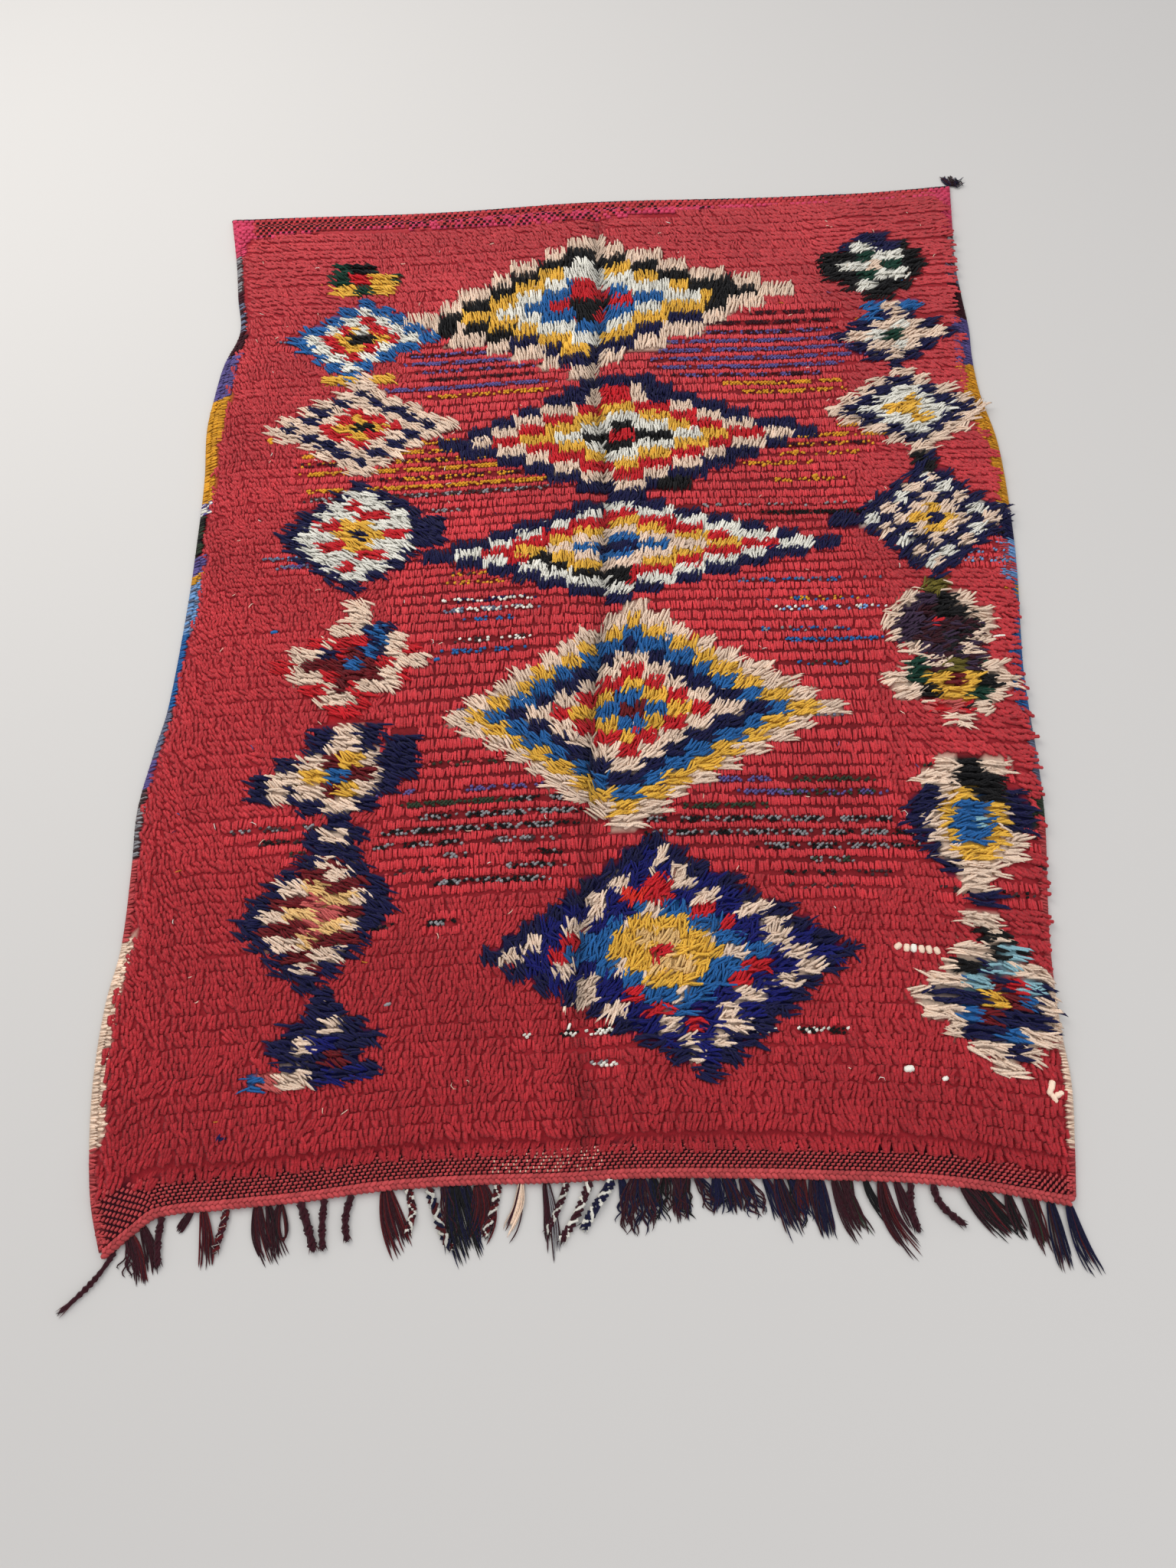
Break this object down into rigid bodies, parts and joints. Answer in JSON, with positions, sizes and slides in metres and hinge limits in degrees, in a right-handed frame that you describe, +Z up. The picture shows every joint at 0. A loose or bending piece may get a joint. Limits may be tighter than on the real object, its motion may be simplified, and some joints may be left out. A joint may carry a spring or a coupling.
{
  "type": "knotted pile rug",
  "caption": "Hand-knotted wool pile rug with stepped lozenge motifs, flat-woven ends, a braided edge and a yarn fringe at one end.",
  "frame": {"origin": "middle of the footprint, fringe and corner tassel included, on the floor", "axes": "+Z up out of the pile, +Y along the length from the fringed end to the plain end, +X across the width to the right of someone at the fringed end"},
  "size_m": [1.6242, 2.2972, 0.0216],
  "materials": {
    "pile_wool": "matted wool pile",
    "braid_yarn": "plied wool yarn",
    "heading_yarn": "plied wool yarn",
    "fringe_yarn": "twisted and loose warp yarn",
    "tuft_yarn": "loose yarn"
  },
  "bodies": {
    "root": {"rug_body": "pile_wool", "end_braid": "braid_yarn", "top_cord": "heading_yarn", "fringe": "fringe_yarn", "corner_tassel": "tuft_yarn"}
  },
  "joints": []
}
